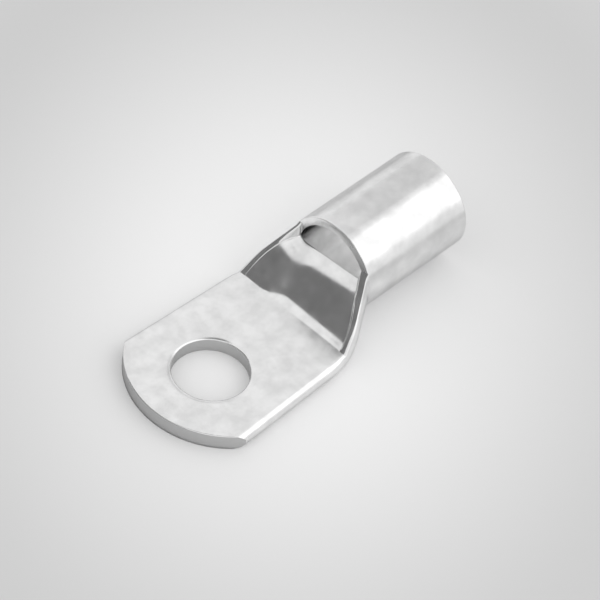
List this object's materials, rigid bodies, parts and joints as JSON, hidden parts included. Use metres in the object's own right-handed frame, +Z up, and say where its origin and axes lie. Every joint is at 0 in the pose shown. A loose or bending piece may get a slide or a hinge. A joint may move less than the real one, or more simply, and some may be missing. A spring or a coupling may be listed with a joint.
{
  "type": "tubular cable lug",
  "caption": "Tin-plated copper cable lug: round crimp barrel, half-moon inspection window, pressed ramp between two ridges, flat palm with a stud hole and a rounded end.",
  "frame": {"origin": "centre of the stud hole, on the palm's underside", "axes": "+X along the tube from the palm to the barrel's mouth, +Z up out of the palm's top face, +Y across the palm"},
  "size_m": [0.041, 0.018, 0.0114],
  "materials": {
    "tinned_copper": "satin tin plating"
  },
  "bodies": {
    "root": {"lug": "tinned_copper"}
  },
  "joints": []
}
